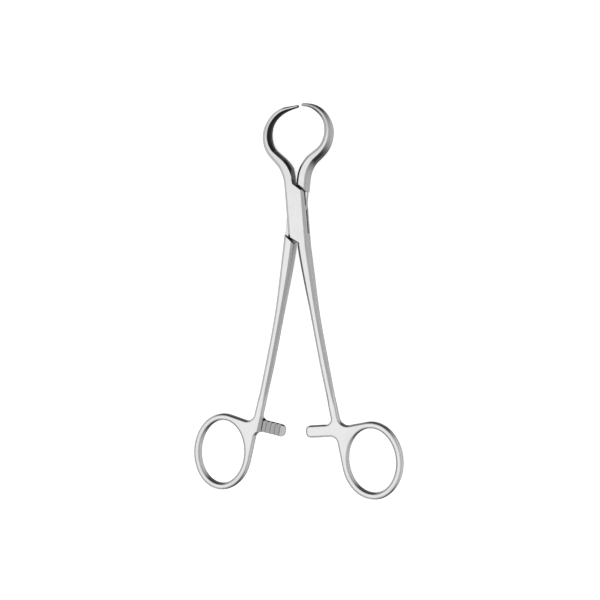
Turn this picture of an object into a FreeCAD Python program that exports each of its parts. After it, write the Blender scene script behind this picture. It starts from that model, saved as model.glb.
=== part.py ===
import FreeCAD, Part
import Sketcher
import math
import os

from FreeCAD import Vector

# Bone clamp: ring-handled forceps with two curved jaws, a box lock and a ratchet.
# Frame: the clamp lies flat, +Z up, +Y towards the jaws, +X to the right. The origin is
# on the axis of the lock pin, at the rear face of the box, which is the resting face.
# Each half crosses the middle at the lock: its jaw is on one side, its ring on the other.

doc = FreeCAD.newDocument("bone_clamp")
sheet = doc.addObject("Spreadsheet::Sheet", "sizes")

# Driving sizes in millimetres and degrees: name, value, meaning. The two halves are
# twins by hand and not by measure, so a few sizes are given for each of them.
SIZES = (
    # Box lock
    ("box_thick", 7.0, "thickness of the box lock and of the two jaw roots"),
    ("strip_width", 8.85, "width of the box half's straight strip at the lock"),
    ("strip_inset", 0.45, "how much narrower the tongue half's strip is, on its jaw's side"),
    ("strip_tilt", 5.3, "turn of each strip away from the middle line, degrees"),
    ("strip_bevel", 1.2, "leg of the bevel along the edges at the lock"),
    ("tongue_thick", 2.3, "thickness of the tongue"),
    ("slot_play", 0.04, "play between the tongue and each wall of its slot"),
    ("tongue_reach", 10.4, "radius of the tongue's rounded corners about the pin"),
    ("slot_gap", 0.2, "gap between the tongue's round corners and the end of its slot"),
    ("slot_side", 0.6, "reach of the slot past the middle line at its foot"),
    ("wall_top", 9.9, "distance from the pin to the upper slanting edge of the box walls"),
    ("wall_top_turn", 36.5, "turn of that edge, degrees"),
    ("wall_foot", 11.5, "distance from the pin to the lower slanting edge of the walls"),
    ("wall_foot_turn", 30.0, "turn of that edge, degrees"),
    ("wall_chamfer", 0.7, "leg of the chamfer along both slanting edges"),
    ("shoulder_chamfer", 0.5, "leg of the chamfer along the tongue half's upper shoulders"),
    ("shoulder_gap", 0.35, "gap between the tongue half's shoulders and the walls"),
    ("foot_flare", 12.0, "extra turn of the lower shoulder, which opens its gap, degrees"),
    # Lock pin
    ("pin_dia", 4.6, "diameter of the lock pin"),
    ("pin_play", 0.05, "radial play of the pin in the tongue's bore"),
    ("head_dia", 6.0, "diameter of the pin's countersunk ends at the outer faces"),
    ("head_depth", 0.8, "depth of each countersink"),
    # Jaws, first the middle line of each
    ("box_root_start", 12.3, "distance along the strip from the pin to the jaw's curve"),
    ("box_neck_radius", 18.2, "radius of the outward bend of the jaw"),
    ("box_neck_turn", 52.2, "turn from the middle line at the end of that bend, degrees"),
    ("box_loop_radius", 12.35, "radius of the jaw around the bone"),
    ("box_tip_turn", 78.0, "turn back over the bone where the jaw runs straight on, degrees"),
    ("tongue_root_start", 15.2, "distance along the strip from the pin to the jaw's curve"),
    ("tongue_neck_radius", 14.5, "radius of the outward bend of the jaw"),
    ("tongue_neck_turn", 55.6, "turn from the middle line at the end of that bend, degrees"),
    ("tongue_loop_radius", 12.35, "radius of the jaw around the bone"),
    ("tongue_tip_turn", 86.0, "turn back over the bone where the jaw runs straight on, degrees"),
    ("root_width", 5.5, "width of the box half's jaw where it leaves the lock"),
    ("side_place", 0.5, "where the jaw's side sizes hold, as a share of its length"),
    ("side_width", 3.9, "width of the jaw halfway round"),
    ("side_thick", 5.8, "thickness of the jaw halfway round"),
    ("side_bevel", 1.45, "bevel of the jaw halfway round"),
    ("crown_place", 0.78, "where the jaw's crown sizes hold, as a share of its length"),
    ("crown_width", 2.9, "width of the jaw where it turns in over the bone"),
    ("crown_thick", 4.0, "thickness of the jaw there"),
    ("crown_bevel", 1.1, "bevel of the jaw there"),
    ("tip_width", 1.3, "width of the jaw at its tip"),
    ("tip_thick", 1.7, "thickness of the jaw at its tip"),
    ("tip_bevel", 0.45, "rounding of the jaw at its tip"),
    ("tip_round", 0.5, "length of the blunt end of the tip"),
    ("tip_face", 0.55, "size of the tip's end face, as a share of the tip"),
    ("tip_gap", 1.3, "gap between the two tips at rest"),
    ("tip_offset", 0.85, "distance of that gap's centre to the right of the pin"),
    # Grip face of the box half
    ("grip_inset", 1.5, "depth that the flat grip face is ground into the jaw root"),
    ("grip_end", 20.0, "distance from the pin to the end of the ground face"),
    ("ridge_count", 8, "ridges on the grip face"),
    ("ridge_pitch", 0.8, "distance from ridge to ridge"),
    ("ridge_depth", 0.35, "depth of the grooves between the ridges"),
    ("ridge_flat", 0.08, "width of the flat left on each ridge"),
    # Shanks
    ("foot_width", 4.9, "width of the shank where it leaves the lock"),
    ("foot_start", 15.6, "distance along the strip from the pin to the shank"),
    ("shank_length", 72.0, "length of the shank from the lock to the bow"),
    ("shank_width", 3.45, "width of the shank halfway down"),
    ("shank_thick", 5.2, "thickness of the shank halfway down"),
    ("shank_bevel", 1.05, "bevel of the shank halfway down"),
    ("box_shank_lead", 9.3, "turn of the shank just below the lock, degrees"),
    ("box_shank_lean", 12.9, "turn of the shank where it meets the bow, degrees"),
    ("tongue_shank_lead", 7.5, "turn of the shank just below the lock, degrees"),
    ("tongue_shank_lean", 13.1, "turn of the shank where it meets the bow, degrees"),
    # Bow: finger ring, web and ratchet arm
    ("bow_thick", 4.2, "thickness of the finger ring and of the web"),
    ("bow_round", 1.1, "rounding of the ring's and the web's edges"),
    ("bow_width", 3.6, "width of the shank where it meets the web"),
    ("box_ring_out", 18.55, "distance of the ring's centre outwards from the shank's end"),
    ("tongue_ring_out", 18.9, "distance of the ring's centre outwards from the shank's end"),
    ("box_ring_drop", 23.72, "distance of the ring's centre below the shank's end"),
    ("tongue_ring_drop", 23.4, "distance of the ring's centre below the shank's end"),
    ("ring_half_width", 12.35, "half width of the rings' middle line"),
    ("box_ring_half_height", 15.7, "half height of the ring's middle line"),
    ("tongue_ring_half_height", 16.05, "half height of the ring's middle line"),
    ("ring_lean", 5.0, "lean of the ring, foot outwards, degrees"),
    ("ring_band", 3.0, "width of the ring's band"),
    ("box_brow_slope", 13.0, "slope of the web's upper edge up to the ring, degrees"),
    ("tongue_brow_slope", 16.0, "slope of the web's upper edge up to the ring, degrees"),
    ("web_turn", 12.3, "turn of the web's inner edge below the arm, degrees"),
    ("box_arm_x", 5.25, "distance of the ratchet arm's end from the middle line"),
    ("box_arm_drop", 12.45, "distance of the ratchet arm's end below the shank's end"),
    ("box_arm_slope", 5.5, "slope of the ratchet arm, down towards its end, degrees"),
    ("tongue_arm_x", 4.95, "distance of the ratchet arm's end from the middle line"),
    ("tongue_arm_drop", 12.78, "distance of the ratchet arm's end below the shank's end"),
    ("tongue_arm_slope", 11.0, "slope of the ratchet arm, down towards its end, degrees"),
    ("arm_height", 5.6, "height of the ratchet arms"),
    ("arm_corner", 2.2, "radius of the corners at the arms' ends"),
    ("arm_fillet", 2.5, "fillet between the shank and the arm"),
    ("ring_fillet", 3.9, "fillet between the shank and the ring"),
    ("web_fillet", 3.2, "fillet between the arm and the web's inner edge"),
    # Ratchet
    ("arm_split", 0.1, "gap between the two arms' tooth crests, measured across"),
    ("step_offset", 1.2, "distance of the ratchet's step from the shank's middle line"),
    ("step_top", 8.0, "height of the step's upper end above the arm's end"),
    ("step_drop", 1.4, "depth of the step's lower end below the arm's end"),
    ("step_run", 2.8, "width of the slope from the web down to the teeth"),
    ("crest_chamfer", 0.6, "leg of the chamfer along the upper edge of the tooth crests"),
    ("tooth_count", 4, "teeth on each ratchet arm"),
    ("tooth_pitch", 2.2, "distance from tooth to tooth"),
    ("tooth_depth", 0.6, "depth of the teeth"),
    ("tooth_rise", 1.95, "length of each tooth's slope"),
    ("tooth_rear", 2.75, "distance from the arm's end to the first tooth"),
)

for row, (alias, value, meaning) in enumerate(SIZES, start=1):
    sheet.set("A%d" % row, alias)
    sheet.set("B%d" % row, str(value))
    sheet.set("C%d" % row, meaning)
    sheet.setAlias("B%d" % row, alias)
doc.recompute()


def size(alias):
    """The value of one cell of the sheet."""
    return float(sheet.get(alias))


MIDDLE = size("box_thick") / 2
TILT = size("strip_tilt")
FAR = 40.0      # reach of the cutting tools past the lock, beyond any face they meet
JAW_STATIONS = 16       # stretches that each jaw's skin is laid through
SHANK_STATIONS = 8      # the same for each shank


def along(turn):
    """Direction turned to the right from +Y by some degrees."""
    return Vector(math.sin(math.radians(turn)), math.cos(math.radians(turn)), 0)


def across(turn):
    """Direction to the right of along(turn)."""
    return Vector(math.cos(math.radians(turn)), -math.sin(math.radians(turn)), 0)


def mirrored(shape):
    """The same shape on the other side of the middle line."""
    return shape.mirror(Vector(0, 0, 0), Vector(1, 0, 0))


def section(centre, turn, left, right, thick, bevel, rounded=False):
    """Closed profile across the direction along(turn): a bevelled or rounded rectangle
    from left to right of the centre, half of its thickness on each side of the middle."""
    side = across(turn)
    half = thick / 2
    cut = min(bevel, 0.48 * (right - left), 0.48 * thick)
    arc = cut * (1 - math.sqrt(0.5))
    corners = (
        ((right, -half + cut), (right - arc, -half + arc), (right - cut, -half)),
        ((left + cut, -half), (left + arc, -half + arc), (left, -half + cut)),
        ((left, half - cut), (left + arc, half - arc), (left + cut, half)),
        ((right - cut, half), (right - arc, half - arc), (right, half - cut)),
    )
    edges = []
    last = None
    for corner in corners:
        start, middle, end = [centre + side * w + Vector(0, 0, MIDDLE + z) for w, z in corner]
        if last is not None:
            edges.append(Part.makeLine(last, start))
        if rounded:
            edges.append(Part.Arc(start, middle, end).toShape())
        else:
            edges.append(Part.makeLine(start, end))
        last = end
    first = centre + side * right + Vector(0, 0, MIDDLE - half + cut)
    edges.append(Part.makeLine(last, first))
    return Part.Wire(edges)


def slab(points, low, high):
    """Straight prism over a closed polygon, from z = low to z = high."""
    ring = [Vector(p.x, p.y, low) for p in points]
    face = Part.Face(Part.makePolygon(ring + ring[:1]))
    return face.extrude(Vector(0, 0, high - low))


def beyond(distance, turn):
    """Block on the far side of a line that lies at a distance from the pin."""
    out, side = along(turn), across(turn)
    near = out * distance
    far = out * (distance + FAR)
    corners = (near - side * FAR, near + side * FAR, far + side * FAR, far - side * FAR)
    return slab(corners, -1, size("box_thick") + 1)


# Forged blank of one half, with its jaw on the right and its ring on the left

def straight_strip(start, end, left, right):
    """Bevelled bar along the strip, between two distances from the pin."""
    ends = [
        section(along(TILT) * v, TILT, left, right, size("box_thick"), size("strip_bevel"))
        for v in (start, end)
    ]
    return Part.makeLoft(ends, True, True)


def root_sides(half):
    """Distances from the pin to the inner and the outer side of a jaw's root."""
    inner, outer = size("strip_width") / 2 - size("root_width"), size("strip_width") / 2
    if half == "tongue":
        outer -= size("strip_inset")
    return inner, outer


def jaw_station(half, travel):
    """Point and turn on a jaw's middle line: a bend outwards, the loop, a straight tip."""
    inner, outer = root_sides(half)
    start = along(TILT) * size(half + "_root_start") + across(TILT) * ((inner + outer) / 2)
    neck, loop = size(half + "_neck_radius"), size(half + "_loop_radius")
    bend_turn, tip_turn = size(half + "_neck_turn"), size(half + "_tip_turn")
    neck_length = neck * math.radians(bend_turn - TILT)
    neck_centre = start + across(TILT) * neck
    if travel <= neck_length:
        turn = TILT + math.degrees(travel / neck)
        return neck_centre - across(turn) * neck, turn
    loop_centre = neck_centre - across(bend_turn) * (neck + loop)
    round_loop = min(travel - neck_length, loop * math.radians(bend_turn + tip_turn))
    turn = bend_turn - math.degrees(round_loop / loop)
    straight = travel - neck_length - round_loop
    return loop_centre + across(turn) * loop + along(turn) * straight, turn


def jaw_length(half, tip_x):
    """Length of a jaw's middle line up to the place where it is tip_x from the middle."""
    neck, loop = size(half + "_neck_radius"), size(half + "_loop_radius")
    bend_turn, tip_turn = size(half + "_neck_turn"), size(half + "_tip_turn")
    short = neck * math.radians(bend_turn - TILT)
    long = short + loop * math.radians(bend_turn + tip_turn + 180)
    for step in range(50):
        middle = (short + long) / 2
        if jaw_station(half, middle)[0].x > tip_x:
            short = middle
        else:
            long = middle
    return short


def shares(count, turn):
    """Shares of a length, as the height of a wheel's rim while it turns from its lowest
    point: closest together at the start, and with half a turn at the end too."""
    heights = [1 - math.cos(math.radians(turn * index / count)) for index in range(count + 1)]
    return [height / heights[-1] for height in heights]


def blend(share, low, high):
    """Value between two sizes, with no kink at either end."""
    ease = share * share * (3 - 2 * share)
    return low + (high - low) * ease


def jaw(half, tip_x):
    """Jaw from the lock to its tip, thinning from the root to the side and the crown."""
    length = jaw_length(half, tip_x)
    blunt = size("tip_round")
    inner, outer = root_sides(half)
    root = (outer - inner, size("box_thick"), size("strip_bevel"))
    side = (size("side_width"), size("side_thick"), size("side_bevel"))
    crown = (size("crown_width"), size("crown_thick"), size("crown_bevel"))
    tip = (size("tip_width"), size("tip_thick"), size("tip_bevel"))
    places = ((0.0, root), (size("side_place"), side), (size("crown_place"), crown), (1.0, tip))
    profiles = []
    for share in shares(JAW_STATIONS, 180):
        centre, turn = jaw_station(half, share * (length - blunt))
        for (low, start), (high, end) in zip(places, places[1:]):
            if low <= share <= high:
                part = (share - low) / (high - low)
                width, thick, bevel = [blend(part, a, b) for a, b in zip(start, end)]
        profiles.append(section(centre, turn, -width / 2, width / 2, thick, bevel))
    body = Part.makeLoft(profiles, True, False)
    centre, turn = jaw_station(half, length)
    width, thick, bevel = [size("tip_face") * value for value in tip]
    cap = section(centre, turn, -width / 2, width / 2, thick, bevel)
    return body.fuse(Part.makeLoft([profiles[-1], cap], True, True))


def shank_station(half, share):
    """Point and turn on a shank's middle line, a long flat arc below the lock."""
    edge = size("foot_width") / 2 - size("strip_width") / 2
    start = along(TILT) * -size("foot_start") + across(TILT) * edge
    lead, lean = size(half + "_shank_lead"), size(half + "_shank_lean")
    radius = size("shank_length") / math.radians(lean - lead)
    centre = start - across(lead) * radius
    turn = lead + (lean - lead) * share
    return centre + across(turn) * radius, turn


def shank(half):
    """Shank from the lock to the bow: bevelled at first, rounded where it meets the bow."""
    foot = (size("foot_width"), size("box_thick"), size("strip_bevel"))
    waist = (size("shank_width"), size("shank_thick"), size("shank_bevel"))
    bow_end = (size("bow_width"), size("bow_thick"), size("bow_round"))
    start = along(TILT) * -size("foot_start")
    left = -size("strip_width") / 2
    profiles = [section(start, TILT, left, left + foot[0], foot[1], foot[2])]
    for share in shares(SHANK_STATIONS, 90)[1:]:
        centre, turn = shank_station(half, share)
        low, high, part = (foot, waist, share * 2)
        if share > 0.5:
            low, high, part = (waist, bow_end, share * 2 - 1)
        width, thick, bevel = [blend(part, a, b) for a, b in zip(low, high)]
        last = share == 1.0
        profiles.append(section(centre, turn, -width / 2, width / 2, thick, bevel, last))
    return Part.makeLoft(profiles, True, False)


def ring_axes(half):
    """Centre of the finger ring on the left and the directions of its width and height."""
    lean = size("ring_lean")
    offset = Vector(size(half + "_ring_out"), size(half + "_ring_drop"), 0)
    return shank_station(half, 1.0)[0] - offset, across(lean), along(lean)


def arm_end(half):
    """Middle of the end of the ratchet arm that reaches in from the left."""
    below = shank_station(half, 1.0)[0].y - size(half + "_arm_drop")
    return Vector(-size(half + "_arm_x"), below, 0)


def ring_curve(half, half_width, half_height):
    """The leaning ellipse of the ring on the left."""
    centre, wide, tall = ring_axes(half)
    return Part.Ellipse(centre + tall * half_height, centre - wide * half_width, centre)


def ring_touch(half, half_width, half_height, out):
    """Point of that ellipse whose outward direction is out."""
    centre, wide, tall = ring_axes(half)
    reach_wide, reach_tall = out.dot(wide) * half_width, out.dot(tall) * half_height
    reach = math.hypot(reach_wide, reach_tall)
    return centre + (wide * (half_width * reach_wide) + tall * (half_height * reach_tall)) / reach


def meet(point, direction, other, heading):
    """Crossing point of two lines in the plane."""
    gap = other - point
    det = direction.x * heading.y - direction.y * heading.x
    reach = (gap.x * heading.y - gap.y * heading.x) / det
    return point + direction * reach


def rounded_path(start, corners, end):
    """Lines from start to end with an arc of its own radius at each corner between."""
    edges = []
    here = start
    path = [start] + [corner for corner, radius in corners] + [end]
    for before, (corner, radius), after in zip(path, corners, path[2:]):
        back, ahead = (before - corner).normalize(), (after - corner).normalize()
        half_angle = back.getAngle(ahead) / 2
        reach = radius / math.tan(half_angle)
        inward = (back + ahead).normalize()
        crown = corner + inward * (radius / math.sin(half_angle) - radius)
        edges.append(Part.makeLine(here, corner + back * reach))
        edges.append(Part.Arc(corner + back * reach, crown, corner + ahead * reach).toShape())
        here = corner + ahead * reach
    edges.append(Part.makeLine(here, end))
    return edges


def bow_outline(half):
    """Outline of the bow on the left: shank end, ratchet arm, web and ring, all tangent."""
    half_width = size("ring_half_width") + size("ring_band") / 2
    half_height = size(half + "_ring_half_height") + size("ring_band") / 2
    centre, lean = shank_station(half, 1.0)
    down, side = along(lean) * -1, across(lean) * (size("bow_width") / 2)
    outer, inner = centre - side, centre + side

    # The web's upper edge runs onto the ring above, its inner edge onto the ring's side
    brow = across(size(half + "_brow_slope"))
    crest = ring_touch(half, half_width, half_height, along(size(half + "_brow_slope")))
    web = along(size("web_turn")) * -1
    landing = ring_touch(half, half_width, half_height, across(size("web_turn")))

    slope = across(size(half + "_arm_slope"))
    rise = along(size(half + "_arm_slope")) * (size("arm_height") / 2)
    end = arm_end(half)
    upper = ((meet(outer, down, crest, brow), size("ring_fillet")),)
    lower = (
        (meet(inner, down, end + rise, slope), size("arm_fillet")),
        (end + rise, size("arm_corner")),
        (end - rise, size("arm_corner")),
        (meet(landing, web, end - rise, slope), size("web_fillet")),
    )
    ellipse = ring_curve(half, half_width, half_height)
    band = Part.ArcOfEllipse(ellipse, ellipse.parameter(crest), ellipse.parameter(landing))
    edges = rounded_path(crest, upper, outer) + [Part.makeLine(outer, inner)]
    return Part.Wire(edges + rounded_path(inner, lower, landing) + [band.toShape()])


def bow(half):
    """Ring, web and plain ratchet arm as one plate with rounded edges."""
    half_width = size("ring_half_width") - size("ring_band") / 2
    half_height = size(half + "_ring_half_height") - size("ring_band") / 2
    hole = Part.Wire(ring_curve(half, half_width, half_height).toShape())
    face = Part.Face([bow_outline(half), hole], "Part::FaceMakerBullseye")
    face.translate(Vector(0, 0, MIDDLE - size("bow_thick") / 2))
    plate = face.extrude(Vector(0, 0, size("bow_thick")))
    centre, lean = shank_station(half, 1.0)
    rims = []
    for edge in plate.Edges:
        flat = edge.BoundBox.ZLength < 1e-6
        at_shank = all(abs((v.Point - centre).dot(along(lean))) < 1e-6 for v in edge.Vertexes)
        if flat and not at_shank:
            rims.append(edge)
    return plate.makeFillet(size("bow_round"), rims)


# The two halves at the lock

HALF_STRIP = size("strip_width") / 2
GRIP = HALF_STRIP - size("root_width") + size("grip_inset")
TOP_TURN = size("wall_top_turn")
FOOT_TURN = 180 + size("wall_foot_turn")
SHOULDER_TURN = FOOT_TURN + size("foot_flare")


def root_bar(half):
    """Root of a jaw, which runs on along the outer edge of the strip."""
    inner, outer = root_sides(half)
    return straight_strip(0, size(half + "_root_start"), inner, outer)


def foot_bar():
    """Foot of the lock, where the strip narrows to the shank."""
    inner = -HALF_STRIP + size("foot_width")
    return straight_strip(-size("foot_start"), 0, -HALF_STRIP, inner)


def ridge_grooves():
    """Grooves between the ridges of the grip face, running through the thickness."""
    grooves = []
    pitch, depth = size("ridge_pitch"), size("ridge_depth")
    lowest = meet(across(TILT) * GRIP, along(TILT), along(-TOP_TURN) * size("wall_top"),
                  across(-TOP_TURN)) + along(TILT) * (pitch / 2)
    for index in range(int(size("ridge_count"))):
        centre = lowest + along(TILT) * (index * pitch)
        reach = along(TILT) * ((pitch - size("ridge_flat")) / 2)
        triangle = (centre - reach, centre + across(TILT) * depth, centre + reach)
        grooves.append(slab(triangle, -1, size("box_thick") + 1))
    return Part.makeCompound(grooves)


def slanting_edges(solid, distance, turn):
    """Edges of the front and rear faces along a line that lies at a distance from the pin."""
    found = []
    for edge in solid.Edges:
        off_line = [abs(end.Point.dot(along(turn)) - distance) for end in edge.Vertexes]
        depth = abs(edge.BoundBox.Center.z - MIDDLE)
        if max(off_line) < 1e-6 and abs(depth - MIDDLE) < 1e-6:
            found.append(edge)
    return found


def box_forging():
    """Box half before its slot and bores are cut: jaw on the left, ring on the right."""
    walls = straight_strip(-size("foot_start"), size("box_root_start"), -HALF_STRIP, HALF_STRIP)
    # the walls run on beside the grip face, up to their slanting edge
    ledge = straight_strip(size("box_root_start") / 2, 2 * size("box_root_start"), -HALF_STRIP,
                           GRIP + size("strip_bevel"))
    walls = mirrored(walls.fuse(ledge))
    walls = walls.cut([beyond(size("wall_top"), TOP_TURN), beyond(size("wall_foot"), FOOT_TURN)])
    slanting = slanting_edges(walls, size("wall_top"), TOP_TURN)
    slanting += slanting_edges(walls, size("wall_foot"), FOOT_TURN)
    walls = walls.makeChamfer(size("wall_chamfer"), slanting)
    upper = root_bar("box").fuse(jaw("box", size("tip_gap") / 2 - size("tip_offset")))
    outside, inside = across(TILT) * GRIP, across(TILT) * (GRIP - HALF_STRIP)
    up = along(TILT) * size("grip_end")
    grip = slab((outside, inside, inside + up, outside + up), -1, size("box_thick") + 1)
    upper = upper.cut([grip, ridge_grooves()])
    rest = foot_bar().fuse([shank("box"), bow("box")])
    return walls.fuse([mirrored(upper), mirrored(rest)]).removeSplitter()


def tongue_forging():
    """Tongue half before its bore and teeth are cut: jaw on the right, ring on the left."""
    middle = size("tongue_thick") / 2
    corner = meet(across(-TILT) * -HALF_STRIP, along(-TILT),
                  along(FOOT_TURN) * size("wall_foot"), across(FOOT_TURN))
    shoulder = size("wall_top") + size("shoulder_gap")
    top = along(TOP_TURN) * shoulder
    foot = along(SHOULDER_TURN)
    foot = foot * (foot.dot(corner) + size("shoulder_gap"))
    reach = 2 * size("strip_width")
    outline = (
        top - across(TOP_TURN) * reach,
        top + across(TOP_TURN) * reach,
        foot - across(SHOULDER_TURN) * reach,
        foot + across(SHOULDER_TURN) * reach,
    )
    rear = slab(outline, -1, MIDDLE - middle)
    front = slab(outline, MIDDLE + middle, size("box_thick") + 1)
    upper = root_bar("tongue").fuse(jaw("tongue", size("tip_offset") + size("tip_gap") / 2))
    upper = upper.cut([rear, front])
    upper = upper.makeChamfer(size("shoulder_chamfer"), slanting_edges(upper, shoulder, TOP_TURN))
    lower = foot_bar().fuse([shank("tongue"), bow("tongue")])
    lower = lower.cut([rear, front])
    length = size("tongue_root_start")
    strip = straight_strip(-length, length, -HALF_STRIP, root_sides("tongue")[1])
    disc = Part.makeCylinder(size("tongue_reach"), size("tongue_thick"),
                             Vector(0, 0, MIDDLE - middle))
    tongue = strip.common(disc)
    return tongue.fuse([upper, lower]).removeSplitter()


def ratchet_cut(half):
    """Room for the other arm: the front half of the arm on the left beyond a slope down
    from the web, the chamfer along the edge that this leaves above, and the grooves of
    the teeth, steep towards the arm's end."""
    crest = MIDDLE - size("arm_split") / 2
    front, above = MIDDLE + size("bow_thick") / 2, size("box_thick") + 1
    end = arm_end(half)
    centre, lean = shank_station(half, 1.0)
    step = centre + across(lean) * size("step_offset")
    level, under = Vector(1, 0, 0), Vector(0, -size("arm_height"), 0)
    high = meet(step, along(lean), end + Vector(0, size("step_top"), 0), level)
    low = meet(step, along(lean), end - Vector(0, size("step_drop"), 0), level)
    out = level * size(half + "_ring_out")
    outlines = []
    for height in (crest, above):
        run = level * (size("step_run") * (front - height) / (front - crest))
        corners = [high + run, high + out * 2, low + out * 2 + under, low + run]
        corners = [Vector(corner.x, corner.y, height) for corner in corners]
        outlines.append(Part.makePolygon(corners + corners[:1]))
    tools = [Part.makeLoft(outlines, True, True)]
    slope, rise = across(size(half + "_arm_slope")), along(size(half + "_arm_slope"))
    toothed = size("tooth_rear") + size("tooth_count") * size("tooth_pitch")
    upper = end + rise * (size("arm_height") / 2)
    leg = size("crest_chamfer")
    wedge = []
    for aside, height in ((-leg, crest), (leg, crest), (leg, crest - 2 * leg)):
        wedge.append(upper - slope * toothed + rise * aside + Vector(0, 0, height))
    face = Part.Face(Part.makePolygon(wedge + wedge[:1]))
    tools.append(face.extrude(slope * (toothed + size("arm_height"))))
    foot = end - slope * size("tooth_rear") - rise * size("arm_height")
    for index in range(int(size("tooth_count"))):
        wall = foot - slope * (index * size("tooth_pitch"))
        ridge = wall - slope * size("tooth_rise")
        corners = (
            Vector(wall.x, wall.y, above),
            Vector(wall.x, wall.y, crest - size("tooth_depth")),
            Vector(ridge.x, ridge.y, crest),
            Vector(ridge.x, ridge.y, above),
        )
        face = Part.Face(Part.makePolygon(corners + corners[:1]))
        tools.append(face.extrude(rise * (2 * size("arm_height"))))
    return tools[0].fuse(tools[1:])


def shaped(name, shape):
    """A document object that holds a shape worked out above."""
    item = doc.addObject("Part::Feature", name)
    item.Shape = shape
    return item


def bound(kind, name, **links):
    """A primitive or boolean whose sizes are tied to the sheet's cells."""
    item = doc.addObject(kind, name)
    for field, rule in links.items():
        if isinstance(rule, str):
            item.setExpression(field.replace("__", "."), rule)
        else:
            setattr(item, field, rule)
    return item


slot_disc = bound(
    "Part::Cylinder", "slot_disc",
    Radius="sizes.tongue_reach + sizes.slot_gap",
    Height="sizes.tongue_thick + 2 * sizes.slot_play",
    Placement__Base__z="(sizes.box_thick - sizes.tongue_thick) / 2 - sizes.slot_play",
)
slot_above = bound(
    "Part::Box", "slot_above",
    Length="2 * sizes.strip_width",
    Width="sizes.wall_top + sizes.strip_width",
    Height="sizes.tongue_thick + 2 * sizes.slot_play",
    Placement__Base__x="sizes.root_width - sizes.strip_width / 2 - sizes.grip_inset"
                       " - sizes.tongue_reach * tan(sizes.strip_tilt * 1 deg)",
    Placement__Base__z="(sizes.box_thick - sizes.tongue_thick) / 2 - sizes.slot_play",
)
slot_below = bound(
    "Part::Box", "slot_below",
    Length="2 * sizes.strip_width",
    Width="sizes.wall_foot + sizes.strip_width",
    Height="sizes.tongue_thick + 2 * sizes.slot_play",
    Placement__Base__x="sizes.slot_side - 2 * sizes.strip_width",
    Placement__Base__y="-(sizes.wall_foot + sizes.strip_width)",
    Placement__Base__z="(sizes.box_thick - sizes.tongue_thick) / 2 - sizes.slot_play",
)
slot = bound("Part::MultiFuse", "slot", Shapes=[slot_disc, slot_above, slot_below])

# Bores for the lock pin: a countersunk hole in the walls, a running bore in the tongue
wall_bore = bound(
    "Part::Cylinder", "wall_bore",
    Radius="sizes.pin_dia / 2",
    Height="sizes.box_thick",
)
rear_sink = bound(
    "Part::Cone", "rear_sink",
    Radius1="sizes.head_dia / 2",
    Radius2="sizes.pin_dia / 2",
    Height="sizes.head_depth",
)
front_sink = bound(
    "Part::Cone", "front_sink",
    Radius1="sizes.pin_dia / 2",
    Radius2="sizes.head_dia / 2",
    Height="sizes.head_depth",
    Placement__Base__z="sizes.box_thick - sizes.head_depth",
)
rivet_hole = bound("Part::MultiFuse", "rivet_hole", Shapes=[wall_bore, rear_sink, front_sink])
tongue_bore = bound(
    "Part::Cylinder", "tongue_bore",
    Radius="sizes.pin_dia / 2 + sizes.pin_play",
    Height="sizes.box_thick",
)

# The two halves: a forging, less what is milled and drilled out of it
box_blank = shaped("box_forging", box_forging())
tongue_blank = shaped("tongue_forging", tongue_forging())
tongue_ratchet = shaped("tongue_ratchet", ratchet_cut("tongue"))
turned_over = ratchet_cut("box")
turned_over.rotate(Vector(0, 0, MIDDLE), Vector(0, 1, 0), 180)
box_ratchet = shaped("box_ratchet", turned_over)

box_slotted = bound("Part::Cut", "box_slotted", Base=box_blank, Tool=slot)
box_bored = bound("Part::Cut", "box_bored", Base=box_slotted, Tool=rivet_hole)
box_half = bound("Part::Cut", "box_half", Base=box_bored, Tool=box_ratchet)
tongue_bored = bound("Part::Cut", "tongue_bored", Base=tongue_blank, Tool=tongue_bore)
tongue_half = bound("Part::Cut", "tongue_half", Base=tongue_bored, Tool=tongue_ratchet)

# Lock pin: a rivet turned to fill its countersinks, flush with both faces
lock_pin = doc.addObject("PartDesign::Body", "lock_pin")
doc.recompute()
plane = [item for item in lock_pin.Origin.OriginFeatures if item.Role == "XZ_Plane"][0]
profile = lock_pin.newObject("Sketcher::SketchObject", "pin_profile")
profile.AttachmentSupport = [(plane, "")]
profile.MapMode = "FlatFace"
radius, head = size("pin_dia") / 2, size("head_dia") / 2
depth, top = size("head_depth"), size("box_thick")
outline = ((0, 0), (head, 0), (radius, depth), (radius, top - depth), (head, top), (0, top))
for start, end in zip(outline, outline[1:] + outline[:1]):
    line = Part.LineSegment(Vector(start[0], start[1], 0), Vector(end[0], end[1], 0))
    profile.addGeometry(line, False)
lines = len(outline)
for index in range(lines):
    following = (index + 1) % lines
    profile.addConstraint(Sketcher.Constraint("Coincident", index, 2, following, 1))
profile.addConstraint(Sketcher.Constraint("Coincident", 0, 1, -1, 1))
profile.addConstraint(Sketcher.Constraint("Horizontal", 0))
profile.addConstraint(Sketcher.Constraint("Vertical", 2))
profile.addConstraint(Sketcher.Constraint("Horizontal", 4))
profile.addConstraint(Sketcher.Constraint("Vertical", 5))
rules = (
    ("DistanceX", 0, 2, "rear_head", head, "sizes.head_dia / 2"),
    ("DistanceX", 1, 2, "rear_shaft", radius, "sizes.pin_dia / 2"),
    ("DistanceY", 1, 2, "rear_depth", depth, "sizes.head_depth"),
    ("DistanceY", 3, 1, "front_depth", top - depth, "sizes.box_thick - sizes.head_depth"),
    ("DistanceX", 4, 1, "front_head", head, "sizes.head_dia / 2"),
    ("DistanceY", 4, 1, "front_face", top, "sizes.box_thick"),
)
for kind, line, end, name, value, rule in rules:
    index = profile.addConstraint(Sketcher.Constraint(kind, -1, 1, line, end, value))
    profile.renameConstraint(index, name)
    profile.setExpression("Constraints." + name, rule)
turned = lock_pin.newObject("PartDesign::Revolution", "pin_turned")
turned.Profile = profile
turned.ReferenceAxis = (profile, ["V_Axis"])
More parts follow.
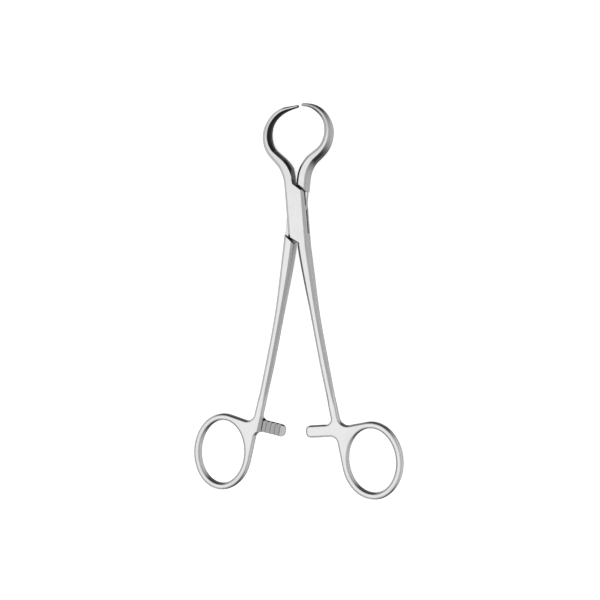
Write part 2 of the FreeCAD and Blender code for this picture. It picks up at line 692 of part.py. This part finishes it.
turned.Angle = 360
doc.recompute()

# Every object sound, every sub-part one valid solid, then the files
for item in doc.Objects:
    if "Invalid" in item.State or "Error" in item.State:
        raise RuntimeError("%s did not recompute: %s" % (item.Label, item.State))
nodes = (box_half, tongue_half, lock_pin)
for node in nodes:
    shape = node.Shape
    if shape.isNull() or not shape.isValid() or len(shape.Solids) != 1:
        raise RuntimeError("%s is not one valid solid" % node.Label)
    print(node.Label, "volume", round(shape.Volume, 1), "faces", len(shape.Faces))
os.makedirs("parts", exist_ok=True)
for node in nodes:
    node.Shape.exportStep("parts/%s.step" % node.Label)
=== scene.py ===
import math

import bpy
from mathutils import Matrix, Vector


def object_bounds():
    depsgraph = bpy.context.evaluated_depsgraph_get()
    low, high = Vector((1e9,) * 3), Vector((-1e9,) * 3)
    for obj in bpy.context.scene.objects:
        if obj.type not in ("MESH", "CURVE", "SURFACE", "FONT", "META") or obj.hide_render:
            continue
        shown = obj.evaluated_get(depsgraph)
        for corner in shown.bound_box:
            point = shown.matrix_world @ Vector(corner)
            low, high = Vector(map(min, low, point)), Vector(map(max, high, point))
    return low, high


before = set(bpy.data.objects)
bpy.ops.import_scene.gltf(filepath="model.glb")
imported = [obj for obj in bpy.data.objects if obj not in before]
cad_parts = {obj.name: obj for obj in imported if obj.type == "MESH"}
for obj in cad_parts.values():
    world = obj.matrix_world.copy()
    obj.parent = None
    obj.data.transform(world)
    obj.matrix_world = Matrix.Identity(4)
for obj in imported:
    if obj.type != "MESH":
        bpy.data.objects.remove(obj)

# Bone clamp of satin ground stainless steel, lying flat and seen from above.
# Metres, in the same frame as the CAD: +Z up along the lock pin, +Y towards the jaws.
cadLow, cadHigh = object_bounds()
print("stage: frame loaded,", len(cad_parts), "pieces")

scene = bpy.context.scene
scene.view_settings.view_transform = "Standard"

falling = (1.0, 0.0)            # tones of a ramp that goes down
flatten = (1.0, 1.0, 0.0)       # a vector times this is level
mixSockets = {                  # first, second and result on a Mix node, for each kind
    "FLOAT": (2, 3, 0),
    "VECTOR": (4, 5, 1),
    "RGBA": (6, 7, 2),
}


def emptied(owner):
    # the cleared node sheet of a new material or world
    owner.use_nodes = True
    owner.node_tree.nodes.clear()
    return owner.node_tree


def addNode(tree, kind, place, **settings):
    # a node at its place on the sheet; settings are its properties
    node = tree.nodes.new(kind)
    node.location = place
    for key, value in settings.items():
        setattr(node, key, value)
    return node


def feed(tree, socket, value):
    # the socket takes another node's output, or a plain value
    if isinstance(value, bpy.types.NodeSocket):
        tree.links.new(value, socket)
    else:
        socket.default_value = value


def mathNode(tree, operation, place, *operands):
    # one sum of numbers
    node = addNode(tree, "ShaderNodeMath", place, operation=operation)
    for socket, value in zip(node.inputs, operands):
        feed(tree, socket, value)
    return node.outputs["Value"]


def vectorNode(tree, operation, place, *operands):
    # one sum of vectors; a dot product and a length give a number
    node = addNode(tree, "ShaderNodeVectorMath", place, operation=operation)
    for socket, value in zip(node.inputs, operands):
        feed(tree, socket, value)
    return node.outputs["Value" if operation in ("DOT_PRODUCT", "LENGTH") else "Vector"]


def scaled(tree, place, vector, factor):
    # a vector or a colour times a number
    node = addNode(tree, "ShaderNodeVectorMath", place, operation="SCALE")
    feed(tree, node.inputs["Vector"], vector)
    feed(tree, node.inputs["Scale"], factor)
    return node.outputs["Vector"]


def mixNode(tree, kind, place, factor, first, second):
    # first where the factor is 0, second where it is 1
    node = addNode(tree, "ShaderNodeMix", place, data_type=kind)
    firstAt, secondAt, resultAt = mixSockets[kind]
    feed(tree, node.inputs[0], factor)
    feed(tree, node.inputs[firstAt], first)
    feed(tree, node.inputs[secondAt], second)
    return node.outputs[resultAt]


def rampNode(tree, place, value, span, tones=(0.0, 1.0)):
    # smooth step: the first tone up to the span's low end, the second from its high end on
    node = addNode(tree, "ShaderNodeMapRange", place, interpolation_type="SMOOTHSTEP")
    names = ("Value", "From Min", "From Max", "To Min", "To Max")
    for name, number in zip(names, (value, *span, *tones)):
        feed(tree, node.inputs[name], number)
    return node.outputs["Result"]


def separated(tree, place, vector):
    # the three parts of a vector
    parts = addNode(tree, "ShaderNodeSeparateXYZ", place)
    feed(tree, parts.inputs["Vector"], vector)
    return parts.outputs


def giveOut(tree, place, values):
    # a group's output node, with one number for each named value
    sink = addNode(tree, "NodeGroupOutput", place)
    for name, value in values.items():
        tree.interface.new_socket(name=name, in_out="OUTPUT", socket_type="NodeSocketFloat")
        feed(tree, sink.inputs[name], value)


# Satin grinding: fine scratches along the belt's run, a finer blasted grain under them,
# and broad clouds where the belt pressed more or less
grindLook = {
    "streakWide": 5200.0,       # scratches to a metre, across their run
    "streakLong": 260.0,        # the same along it
    "streakDetail": 3.0,
    "grainSize": 9000.0,        # grains to a metre
    "grainDetail": 2.0,
    "grainPart": 0.5,           # height of the grain beside that of the scratches
    "cloudSize": 130.0,         # clouds to a metre
    "cloudDetail": 4.0,
}


def noiseNode(tree, place, vector, size, detail):
    # noise from 0 to 1, of so many grains to a unit
    node = addNode(tree, "ShaderNodeTexNoise", place)
    for name, value in (("Vector", vector), ("Scale", size), ("Detail", detail)):
        feed(tree, node.inputs[name], value)
    return node.outputs["Fac"]


def grindingGroup(look):
    # Height = streaks + part * grain - their mean; Cloud = slow noise
    tree = bpy.data.node_groups.new("satinGrinding", "ShaderNodeTree")
    spot = addNode(tree, "ShaderNodeTexCoord", (-700, 0)).outputs["Object"]
    stretched = addNode(tree, "ShaderNodeMapping", (-500, 0))
    feed(tree, stretched.inputs["Vector"], spot)
    feed(tree, stretched.inputs["Scale"],
         (look["streakWide"], look["streakLong"], look["streakWide"]))
    streaks = noiseNode(tree, (-300, 0), stretched.outputs["Vector"], 1.0,
                        look["streakDetail"])
    grain = noiseNode(tree, (-300, -300), spot, look["grainSize"], look["grainDetail"])
    cloud = noiseNode(tree, (-300, -600), spot, look["cloudSize"], look["cloudDetail"])
    centred = mathNode(tree, "SUBTRACT", (-100, 100), streaks, (1.0 + look["grainPart"]) / 2)
    height = mathNode(tree, "MULTIPLY_ADD", (-100, -100), grain, look["grainPart"], centred)
    giveOut(tree, (100, 0), {"Height": height, "Cloud": cloud})
    return tree


# Masks for painted shade by the way a surface looks: faces keep the steel's bright colour,
# sides along the clamp are painted grey, what looks slantwise to the right or to the jaws
# painted darker, bevels that look left a little darker, and the left jaw's inner side nearly
# black between painted lighter flanks of its ridges. The teeth's side of the ratchet arms is
# left as milled.
# A span is where a smooth step starts and ends
paintedShadeAndMilledLook = {
    "faceSpan": (0.15, 0.95),           # upward part of the normal, from side to face
    "edgeSpan": (0.74, 0.97),           # the same, from a bevel that goes with its side
    "alongWay": (0.996, 0.087, 0.0),    # way that the right sides along the clamp look to
    "alongSpan": (0.66, 0.985),         # level normal's part that way, from slanting
    "slantShadeWay": (0.966, 0.259, 0.0),   # way that the sides with the slantwise painted shade look to
    "slantShadeSpan": (-0.30, 0.25),        # level normal's part that way, from unshaded
    "leftSpan": (-0.70, -0.20),         # level normal's part to the right, from left bevels
    "jawLeftOf": 0.0012,                # the left jaw lies left of this, metres
    "jawBeyond": 0.0090,                # and beyond this
    "gripUpTo": 0.0205,                 # end of its ridged part
    "innerWay": (0.94, -0.34, 0.0),     # way that its inner side looks to
    "innerSpan": (0.05, 0.45),          # level normal's part that way, up to the inner side
    "ridgeSpan": (-0.65, 0.0),          # level normal's part to the jaws, from ridge flanks
    "middle": 0.0035,                   # height of the middle of the thickness, metres
    "milledSpan": (0.0007, 0.0010),     # distance from that middle, from milled to ground
    "armsBelow": -0.085,                # the ratchet arms and rings lie below this, metres
}


def paintedShadeAndMilledGroup(look):
    # Face = smooth step up of the size of the normal's upward part; Edge = a later one
    # the slantwise painted shade = smooth step down of the level normal's part along the
    # clamp's way * smooth step up of its part along the slantwise way
    # Left = smooth step down of the level normal's part to the right
    # Inner = smooth step up of its part along the inner way, on the left jaw
    # Grip = 1 on that jaw's ridged part
    # Ridge = Grip * smooth step down of the level normal's part to the jaws
    # Milled = Edge * smooth step down of the distance from the middle of the thickness
    # Arms = 1 over the ratchet arms and the rings
    tree = bpy.data.node_groups.new("paintedShadeAndMilledMasks", "ShaderNodeTree")
    tree.interface.new_socket(name="Normal", in_out="INPUT", socket_type="NodeSocketVector")
    source = addNode(tree, "NodeGroupInput", (-1300, 0))
    toPiece = addNode(tree, "ShaderNodeVectorTransform", (-1100, 0), vector_type="NORMAL",
                      convert_from="WORLD", convert_to="OBJECT")
    feed(tree, toPiece.inputs["Vector"], source.outputs["Normal"])
    normal = toPiece.outputs["Vector"]
    upward = mathNode(tree, "ABSOLUTE", (-500, 300),
                      separated(tree, (-700, 300), normal)["Z"])
    level = vectorNode(tree, "NORMALIZE", (-700, 0),
                       vectorNode(tree, "MULTIPLY", (-900, 0), normal, flatten))
    levelParts = separated(tree, (-500, 150), level)
    coords = addNode(tree, "ShaderNodeTexCoord", (-1100, -400))
    spot = separated(tree, (-900, -400), coords.outputs["Object"])
    masks = {}

    # masks of painted shade and painted light; Milled marks the milled faces' own finish
    masks["Face"] = rampNode(tree, (-300, 300), upward, look["faceSpan"])
    masks["Edge"] = rampNode(tree, (-300, 500), upward, look["edgeSpan"])
    alongPart = vectorNode(tree, "DOT_PRODUCT", (-500, 0), level, look["alongWay"])
    slanting = rampNode(tree, (-300, 0), alongPart, look["alongSpan"], falling)
    slantShadePart = vectorNode(tree, "DOT_PRODUCT", (-500, -150), level, look["slantShadeWay"])
    turned = rampNode(tree, (-300, -150), slantShadePart, look["slantShadeSpan"])
    masks["Missed"] = mathNode(tree, "MULTIPLY", (-100, 0), slanting, turned)
    masks["Left"] = rampNode(tree, (-100, 150), levelParts["X"], look["leftSpan"], falling)

    leftOfLock = mathNode(tree, "LESS_THAN", (-700, -500), spot["X"], look["jawLeftOf"])
    beyondLock = mathNode(tree, "GREATER_THAN", (-700, -650), spot["Y"], look["jawBeyond"])
    onJaw = mathNode(tree, "MULTIPLY", (-500, -500), leftOfLock, beyondLock)
    innerPart = vectorNode(tree, "DOT_PRODUCT", (-500, -800), level, look["innerWay"])
    inner = rampNode(tree, (-300, -800), innerPart, look["innerSpan"])
    masks["Inner"] = mathNode(tree, "MULTIPLY", (-100, -500), inner, onJaw)
    ridged = mathNode(tree, "LESS_THAN", (-300, -950), spot["Y"], look["gripUpTo"])
    masks["Grip"] = mathNode(tree, "MULTIPLY", (-100, -950), onJaw, ridged)
    flank = rampNode(tree, (-100, -1100), levelParts["Y"], look["ridgeSpan"], falling)
    masks["Ridge"] = mathNode(tree, "MULTIPLY", (100, -800), masks["Grip"], flank)

    depth = mathNode(tree, "ABSOLUTE", (-500, -300),
                     mathNode(tree, "SUBTRACT", (-700, -300), spot["Z"], look["middle"]))
    deep = rampNode(tree, (-300, -300), depth, look["milledSpan"], falling)
    masks["Milled"] = mathNode(tree, "MULTIPLY", (-100, -300), masks["Edge"], deep)
    masks["Arms"] = mathNode(tree, "LESS_THAN", (-100, -1250), spot["Y"], look["armsBelow"])
    giveOut(tree, (400, 0), masks)
    return tree


grinding = grindingGroup(grindLook)
paintedShadeAndMilledMasks = paintedShadeAndMilledGroup(paintedShadeAndMilledLook)
print("stage: finish groups")


# Ground stainless steel of the two halves and of the pin's ends. A tone is the share of the
# colour that is left
steelLook = {
    "faceColour": (0.82, 0.82, 0.82, 1.0),
    "alongColour": (0.42, 0.42, 0.42, 1.0),     # painted shade: grey of the sides that run along the clamp
    "grazingTint": (0.62, 0.62, 0.62, 1.0),     # what is left of the sheen at a low angle
    "missedTone": 0.11,         # painted shade on sides that look slantwise to the right or to the jaws
    "leftTone": 0.62,           # painted shade on the bevels that look left
    "innerTone": 0.06,          # painted shade on the left jaw's inner side
    "ridgeTone": 0.60,          # painted light on the ridges' flanks towards the rings
    "milledTone": 0.62,         # on the milled faces
    "edgeRadius": 0.00035,      # rounding of the ground edges, metres
    "edgeSpan": (0.90, 0.995),  # rounded normal's part along the plain one, from edge to flat
    "lowEdgeTone": 0.40,        # painted shade on the edges between bevels and sides
    "edgeHighlightColour": (0.80, 0.80, 0.80, 1.0),      # painted highlight on the edges of the faces
    "edgeHighlightPart": 0.60,
    "edgeHighlightPower": 1.5,           # how quickly the painted highlight fades off the edge
    "crevices": (               # painted shade in crevices: reach in metres, and openness from closed to clear
        (0.0009, (0.40, 0.85)),
        (0.0004, (0.50, 0.95)),
    ),
    "creviceTone": 0.04,        # painted shade in the deepest crevices
    "leastOpen": {"Arms": 0.45, "Ridge": 0.75},     # least tone that the painted crevice shade keeps there
    "flushReach": 0.0033,       # distance from the pin's axis within which all is flush
    "raySamples": 8,            # of the rounding and the crevices
    "grainTone": 0.10,          # how far the grain lightens and darkens the colour
    "cloudTone": 0.06,          # the same for the clouds
    "cloudSpan": (0.3, 0.7),    # clouds from the lowest to the highest roughness
    "roughness": (0.22, 0.31),
    "bumpHeight": 0.000004,     # metres
}


def leftOver(tree, place, mask, tone):
    # 1 where the mask is 0, the tone where it is 1
    return mathNode(tree, "MULTIPLY_ADD", place, mask, tone - 1.0, 1.0)


def steelMaterial(name, look):
    # normal = rounded at the edges, plain round the pin and on the grip
    # sides' painted shade = smaller of the slantwise and Inner tones * that by Left, and at
    # least
    # Ridge's painted light; colour = grey painted side to face colour by Face * (sides'
    # painted shade to 1 by Edge) * tone by Milled * painted shade on low edges, to a painted
    # highlight by (edge * Face) ^ power * part, then * (1 + grain + clouds) * openness, the
    # painted crevice shade
    # roughness = smooth step of the clouds
    material = bpy.data.materials.new(name)
    tree = emptied(material)
    output = addNode(tree, "ShaderNodeOutputMaterial", (900, 0))
    shader = addNode(tree, "ShaderNodeBsdfPrincipled", (600, 0))
    shader.inputs["Metallic"].default_value = 1.0
    shader.inputs["Specular Tint"].default_value = look["grazingTint"]
    feed(tree, output.inputs["Surface"], shader.outputs["BSDF"])

    # the pin is ground flush and the grip's ridges are crisp
    bevel = addNode(tree, "ShaderNodeBevel", (-1500, -300), samples=look["raySamples"])
    bevel.inputs["Radius"].default_value = look["edgeRadius"]
    plain = addNode(tree, "ShaderNodeNewGeometry", (-1500, -500)).outputs["Normal"]
    spot = addNode(tree, "ShaderNodeTexCoord", (-1900, 0)).outputs["Object"]
    level = vectorNode(tree, "MULTIPLY", (-1700, 0), spot, flatten)
    fromPin = vectorNode(tree, "LENGTH", (-1500, 0), level)
    flush = mathNode(tree, "LESS_THAN", (-1350, 0), fromPin, look["flushReach"])
    onGrip = addNode(tree, "ShaderNodeGroup", (-1500, 200), node_tree=paintedShadeAndMilledMasks)
    crisp = mathNode(tree, "MAXIMUM", (-1300, 0), flush, onGrip.outputs["Grip"])
    rounded = mixNode(tree, "VECTOR", (-1200, -300), crisp, bevel.outputs["Normal"], plain)
    paintedShadeAndMilledNode = addNode(tree, "ShaderNodeGroup", (-900, 0), node_tree=paintedShadeAndMilledMasks)
    feed(tree, paintedShadeAndMilledNode.inputs["Normal"], rounded)
    masks = paintedShadeAndMilledNode.outputs
    finish = addNode(tree, "ShaderNodeGroup", (-900, 300), node_tree=grinding).outputs

    # painted shade: sides grey and faces bright, by the way the rounded normal looks
    colour = mixNode(tree, "RGBA", (-600, 100), masks["Face"], look["alongColour"],
                     look["faceColour"])
    # painted shade on slantwise sides, left bevels and the left jaw's inner side, painted
    # light on the ridges' flanks; the milled faces' tone is their own finish
    tones = {}
    for row, mask in enumerate(("Missed", "Inner", "Left", "Milled")):
        tones[mask] = leftOver(tree, (-600, -100 - 100 * row), masks[mask],
                               look[mask.lower() + "Tone"])
    ridge = mathNode(tree, "MULTIPLY", (-600, -500), masks["Ridge"], look["ridgeTone"])
    sides = mathNode(tree, "MINIMUM", (-450, -150), tones["Missed"], tones["Inner"])
    sides = mathNode(tree, "MULTIPLY", (-450, -350), sides, tones["Left"])
    sides = mathNode(tree, "MAXIMUM", (-380, -250), sides, ridge)
    paintedSideShade = mixNode(tree, "FLOAT", (-300, -200), masks["Edge"], sides, 1.0)
    tone = mathNode(tree, "MULTIPLY", (-150, -200), paintedSideShade, tones["Milled"])

    # painted highlight on the edges of the faces, painted shade on the low edges
    flatness = vectorNode(tree, "DOT_PRODUCT", (-900, -500), rounded, plain)
    atEdge = rampNode(tree, (-700, -550), flatness, look["edgeSpan"], falling)
    high = mathNode(tree, "MULTIPLY", (-500, -550), atEdge, masks["Face"])
    low = mathNode(tree, "SUBTRACT", (-500, -700), atEdge, high)
    lowEdge = leftOver(tree, (-300, -650), low, look["lowEdgeTone"])
    fading = mathNode(tree, "POWER", (-400, -550), high, look["edgeHighlightPower"])
    edgeHighlight = mathNode(tree, "MULTIPLY", (-300, -550), fading, look["edgeHighlightPart"])
    tone = mathNode(tree, "MULTIPLY", (-50, -300), tone, lowEdge)
    paintedShadeAndMilledColour = scaled(tree, (0, 100), colour, tone)
    edged = mixNode(tree, "RGBA", (150, 100), edgeHighlight, paintedShadeAndMilledColour, look["edgeHighlightColour"])

    # painted shade in crevices, kept lighter on the arms and the ridges
    openness = 1.0
    for row, (reach, span) in enumerate(look["crevices"]):
        above = 600 + 200 * row
        crevice = addNode(tree, "ShaderNodeAmbientOcclusion", (-600, above),
                          samples=look["raySamples"])
        crevice.inputs["Distance"].default_value = reach
        clear = rampNode(tree, (-400, above), crevice.outputs["AO"], span,
                         (look["creviceTone"], 1.0))
        openness = mathNode(tree, "MULTIPLY", (-200, above), clear, openness)
    for row, (mask, least) in enumerate(look["leastOpen"].items()):
        kept = mathNode(tree, "MULTIPLY", (-200, 500 - 100 * row), masks[mask], least)
        openness = mathNode(tree, "MAXIMUM", (100 * row - 100, 600), openness, kept)

    cloudy = mathNode(tree, "MULTIPLY_ADD", (-600, 400), finish["Cloud"], look["cloudTone"],
                      1.0 - look["cloudTone"] / 2)
    toned = mathNode(tree, "MULTIPLY_ADD", (-400, 400), finish["Height"], look["grainTone"],
                     cloudy)
    shade = mathNode(tree, "MULTIPLY", (0, 450), toned, openness)
    feed(tree, shader.inputs["Base Color"], scaled(tree, (350, 100), edged, shade))
    feed(tree, shader.inputs["Roughness"], rampNode(
        tree, (-100, -100), finish["Cloud"], look["cloudSpan"], look["roughness"]))
    bump = addNode(tree, "ShaderNodeBump", (100, -300))
    for name, value in (("Strength", 1.0), ("Distance", look["bumpHeight"]),
                        ("Height", finish["Height"]), ("Normal", rounded)):
        feed(tree, bump.inputs[name], value)
    feed(tree, shader.inputs["Normal"], bump.outputs["Normal"])
    return material


steel = steelMaterial("groundSteel", steelLook)
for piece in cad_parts.values():
    piece.data.materials.clear()
    piece.data.materials.append(steel)
print("stage: steel on", len(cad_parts), "pieces")


# Pale floor that the clamp lies on. It adds a little white of its own where the camera or
# a reflection looks at it, so that it reads as the white background and keeps its shadow
floorLook = {
    "size": 3.0,                # metres
    "depth": 0.00002,           # below the clamp's resting face, metres
    "colour": (0.90, 0.90, 0.90, 1.0),
    "ownWhite": 0.72,           # 1 is white
}


def floorMaterial(look):
    # diffuse colour + own white * larger of (camera, glossy, transmission ray)
    material = bpy.data.materials.new("paleFloor")
    tree = emptied(material)
    output = addNode(tree, "ShaderNodeOutputMaterial", (600, 0))
    plain = addNode(tree, "ShaderNodeBsdfDiffuse", (0, 100))
    plain.inputs["Color"].default_value = look["colour"]
    glow = addNode(tree, "ShaderNodeEmission", (200, -100))
    paths = addNode(tree, "ShaderNodeLightPath", (-400, -100)).outputs
    mirrored = mathNode(tree, "MAXIMUM", (-200, -250), paths["Is Glossy Ray"],
                        paths["Is Transmission Ray"])
    seen = mathNode(tree, "MAXIMUM", (-200, -100), paths["Is Camera Ray"], mirrored)
    feed(tree, glow.inputs["Strength"],
         mathNode(tree, "MULTIPLY", (0, -100), seen, look["ownWhite"]))
    both = addNode(tree, "ShaderNodeAddShader", (400, 0))
    feed(tree, both.inputs[0], plain.outputs["BSDF"])
    feed(tree, both.inputs[1], glow.outputs["Emission"])
    feed(tree, output.inputs["Surface"], both.outputs["Shader"])
    return material


def makeFloor(look):
    # square sheet round the lock pin's axis, just below the clamp
    half, low = look["size"] / 2, cadLow.z - look["depth"]
    corners = [(-half, -half, low), (half, -half, low), (half, half, low), (-half, half, low)]
    mesh = bpy.data.meshes.new("floor")
    mesh.from_pydata(corners, [], [(0, 1, 2, 3)])
    floor = bpy.data.objects.new("floor", mesh)
    scene.collection.objects.link(floor)
    mesh.materials.append(floorMaterial(look))


makeFloor(floorLook)
print("stage: floor")


# Soft studio light: a pale dome that is brightest overhead, with paler walls to the left,
# the right and the front, and two wide lamps
domeLook = {
    "horizon": 0.208,
    "overhead": 0.72,
    "overheadSpan": (0.45, 0.95),   # upward part of the direction, from wall to overhead
    "rightWall": 0.336,
    "leftWall": 0.24,
    "frontWall": 0.112,
    "wallPower": 2.0,               # how quickly a wall fades to either side
}
wallWays = {"rightWall": ("X", 1.0), "leftWall": ("X", -1.0), "frontWall": ("Y", -1.0)}
lampLooks = {                       # places and sizes in metres, power in watts
    "overheadLamp": {"place": (-0.25, -0.10, 0.90), "size": 0.7, "power": 0.5},
    "sideLamp": {"place": (-0.90, 0.20, 0.45), "size": 0.6, "power": 0.3},
}


def makeDome(look):
    # wall tone = horizon + each wall's tone * (direction's part towards it) ^ power
    # strength = wall tone to overhead by smooth step of the direction's upward part;
    # plain white to the camera
    world = bpy.data.worlds.new("studioDome")
    tree = emptied(world)
    output = addNode(tree, "ShaderNodeOutputWorld", (600, 0))
    light = addNode(tree, "ShaderNodeBackground", (400, 0))
    light.inputs["Color"].default_value = (1.0, 1.0, 1.0, 1.0)
    coords = addNode(tree, "ShaderNodeTexCoord", (-600, 0))
    parts = separated(tree, (-400, 0), coords.outputs["Generated"])
    wall = look["horizon"]
    for row, (name, (axis, sign)) in enumerate(wallWays.items()):
        below = -200 * row
        signed = mathNode(tree, "MULTIPLY", (-300, below), parts[axis], sign)
        part = mathNode(tree, "MAXIMUM", (-200, below), 0.0, signed)
        faded = mathNode(tree, "POWER", (-100, below), part, look["wallPower"])
        wall = mathNode(tree, "MULTIPLY_ADD", (0, below), faded, look[name], wall)
    above = rampNode(tree, (-200, 200), parts["Z"], look["overheadSpan"])
    rest = mathNode(tree, "MULTIPLY", (100, 0), wall,
                    mathNode(tree, "SUBTRACT", (0, 200), 1.0, above))
    strength = mathNode(tree, "MULTIPLY_ADD", (200, 100), above, look["overhead"], rest)
    paths = addNode(tree, "ShaderNodeLightPath", (-200, -300))
    shown = mathNode(tree, "MAXIMUM", (300, 0), strength, paths.outputs["Is Camera Ray"])
    feed(tree, light.inputs["Strength"], shown)
    feed(tree, output.inputs["Surface"], light.outputs["Background"])
    scene.world = world


def makeLamp(name, look):
    # square lamp that faces the middle of the clamp
    lamp = bpy.data.lights.new(name, "AREA")
    lamp.shape = "SQUARE"
    lamp.size = look["size"]
    lamp.energy = look["power"]
    holder = bpy.data.objects.new(name, lamp)
    holder.location = look["place"]
    aim = (cadLow + cadHigh) / 2 - Vector(look["place"])
    holder.rotation_euler = aim.to_track_quat("-Z", "Y").to_euler()
    scene.collection.objects.link(holder)


makeDome(domeLook)
for name, look in lampLooks.items():
    makeLamp(name, look)
print("stage: light")


# Camera above the clamp, a little to its right, at the photograph's viewing angle
cameraLook = {
    "turn": 18.0,               # degrees to the right of straight overhead
    "lift": 1.0,                # degrees towards the jaws
    "roll": 0.492,              # degrees
    "distance": 0.51006,        # from the lock to the camera along its view, metres
    "right": 0.00111,           # place of the picture's middle from the lock, metres
    "down": 0.03933,
    "lens": 68.08,              # millimetres
    "sensor": 36.0,             # width, millimetres
    "clip": (0.01, 10.0),       # nearest and farthest that it sees, metres
}


def makeCamera(look):
    # back = from the clamp to the camera; level and upright span the picture, and the
    # roll turns them into side and up
    turn, lift, roll = [math.radians(look[key]) for key in ("turn", "lift", "roll")]
    back = Vector((math.sin(turn) * math.cos(lift), math.sin(lift),
                   math.cos(turn) * math.cos(lift)))
    level = Vector((math.cos(turn), 0.0, -math.sin(turn)))
    upright = back.cross(level)
    side = level * math.cos(roll) + upright * math.sin(roll)
    up = upright * math.cos(roll) - level * math.sin(roll)
    lock = Vector((0.0, 0.0, (cadLow.z + cadHigh.z) / 2))
    place = lock + back * look["distance"] + side * look["right"] - up * look["down"]
    lens = bpy.data.cameras.new("camera")
    lens.lens, lens.sensor_width = look["lens"], look["sensor"]
    lens.clip_start, lens.clip_end = look["clip"]
    camera = bpy.data.objects.new("camera", lens)
    scene.collection.objects.link(camera)
    axes = Matrix((side, up, back)).transposed().to_4x4()
    camera.matrix_world = Matrix.Translation(place) @ axes
    scene.camera = camera


makeCamera(cameraLook)
print("stage: camera")
